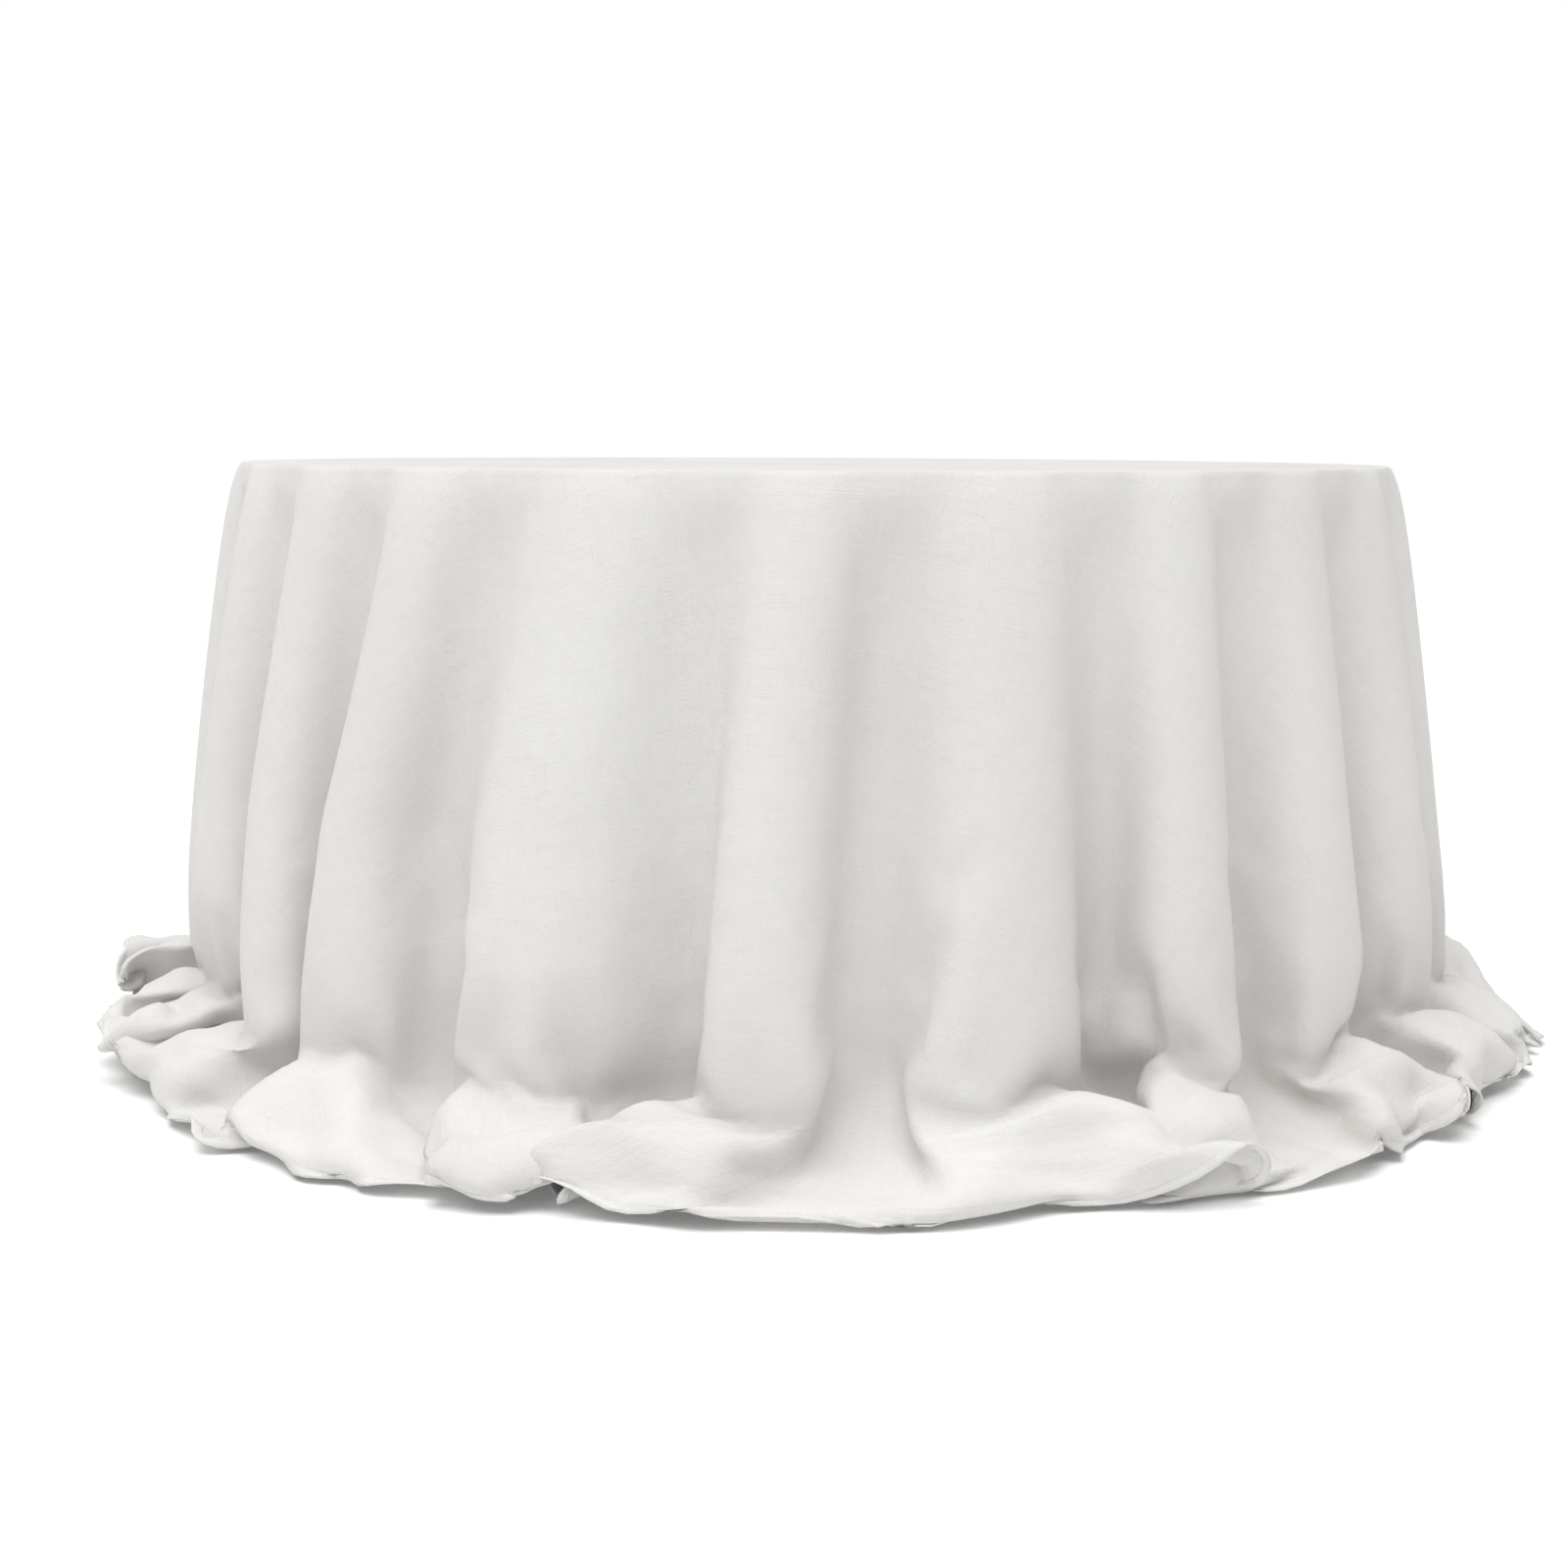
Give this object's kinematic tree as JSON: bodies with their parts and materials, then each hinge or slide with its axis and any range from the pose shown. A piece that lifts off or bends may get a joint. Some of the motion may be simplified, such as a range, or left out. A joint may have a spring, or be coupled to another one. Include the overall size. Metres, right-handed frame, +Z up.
{
  "type": "draped round banquet table",
  "caption": "Round folding banquet table under a white floor-length tablecloth that falls in folds and spreads on the floor.",
  "frame": {"origin": "on the floor under the middle of the table top", "axes": "+Z up; the pictured side faces -Y; the leg frames stand on the +X and -X sides"},
  "size_m": [1.92, 1.92, 0.7633],
  "materials": {
    "cloth": "matte white plain-weave polyester",
    "thread": "white spun polyester thread",
    "laminate": "satin high-pressure laminate",
    "backer": "matte brown backing sheet",
    "edge_vinyl": "matte black vinyl bumper edge",
    "plywood": "unfinished birch plywood",
    "leg_paint": "hammered dark grey powder coat",
    "zinc": "bright zinc plate",
    "foot_plastic": "matte black moulded cap"
  },
  "bodies": {
    "table": {"tabletop_core": "plywood", "top_laminate": "laminate", "bottom_laminate": "backer", "edge_band": "edge_vinyl", "right_cleats": "plywood", "left_cleats": "plywood", "right_pivot_straps": "zinc", "left_pivot_straps": "zinc", "pivot_strap_screws": "zinc", "right_brace_bracket": "zinc", "left_brace_bracket": "zinc", "brace_bracket_screws": "zinc", "brace_bracket_pins": "zinc"},
    "right_legs": {"right_leg_frame": "leg_paint", "right_stretcher": "leg_paint", "right_brace_tab": "leg_paint", "right_tab_pin": "zinc", "right_front_foot": "foot_plastic", "right_back_foot": "foot_plastic"},
    "right_upper_bar": {"right_upper_brace": "zinc", "right_upper_rivet": "zinc"},
    "right_lower_bar": {"right_lower_brace": "zinc", "right_lower_rivet": "zinc"},
    "left_legs": {"left_leg_frame": "leg_paint", "left_stretcher": "leg_paint", "left_brace_tab": "leg_paint", "left_tab_pin": "zinc", "left_front_foot": "foot_plastic", "left_back_foot": "foot_plastic"},
    "left_upper_bar": {"left_upper_brace": "zinc", "left_upper_rivet": "zinc"},
    "left_lower_bar": {"left_lower_brace": "zinc", "left_lower_rivet": "zinc"},
    "tablecloth": {"cloth_top": "cloth", "cloth_drape_1": "cloth", "cloth_drape_2": "cloth", "cloth_drape_3": "cloth", "cloth_drape_4": "cloth", "cloth_drape_5": "cloth", "cloth_drape_6": "cloth", "cloth_drape_7": "cloth", "cloth_drape_8": "cloth", "cloth_floor_1": "cloth", "cloth_floor_2": "cloth", "cloth_floor_3": "cloth", "cloth_floor_4": "cloth", "cloth_floor_5": "cloth", "cloth_floor_6": "cloth", "cloth_floor_7": "cloth", "cloth_floor_8": "cloth", "hem": "cloth", "hem_thread": "thread"}
  },
  "joints": [
    {"name": "right_leg_fold", "type": "hinge", "parent": "table", "child": "right_legs", "pos_m": [0.43, 0, 0.692], "axis": [0, 1, 0], "range_deg": [0, 90]},
    {"name": "right_upper_bar_turn", "type": "hinge", "parent": "table", "child": "right_upper_bar", "pos_m": [0.08, 0, 0.715], "axis": [0, 1, 0], "range_deg": [-44.7, 0]},
    {"name": "right_lower_bar_turn", "type": "hinge", "parent": "right_legs", "child": "right_lower_bar", "pos_m": [0.407, 0, 0.392], "axis": [0, 1, 0], "range_deg": [0, 45.4]},
    {"name": "left_leg_fold", "type": "hinge", "parent": "table", "child": "left_legs", "pos_m": [-0.43, 0, 0.656], "axis": [0, -1, 0], "range_deg": [0, 90]},
    {"name": "left_upper_bar_turn", "type": "hinge", "parent": "table", "child": "left_upper_bar", "pos_m": [-0.08, 0, 0.679], "axis": [0, -1, 0], "range_deg": [-44.7, 0]},
    {"name": "left_lower_bar_turn", "type": "hinge", "parent": "left_legs", "child": "left_lower_bar", "pos_m": [-0.407, 0, 0.356], "axis": [0, -1, 0], "range_deg": [0, 45.4]},
    {"name": "cloth_lift", "type": "slide", "parent": "table", "child": "tablecloth", "axis": [0, 0, 1], "range_m": [0, 0.8]}
  ],
  "couplings": [
    {"joint": "right_upper_bar_turn", "follows": "right_leg_fold", "ratio": -0.49608},
    {"joint": "right_lower_bar_turn", "follows": "right_leg_fold", "ratio": 0.50392},
    {"joint": "left_upper_bar_turn", "follows": "left_leg_fold", "ratio": -0.49608},
    {"joint": "left_lower_bar_turn", "follows": "left_leg_fold", "ratio": 0.50392}
  ]
}
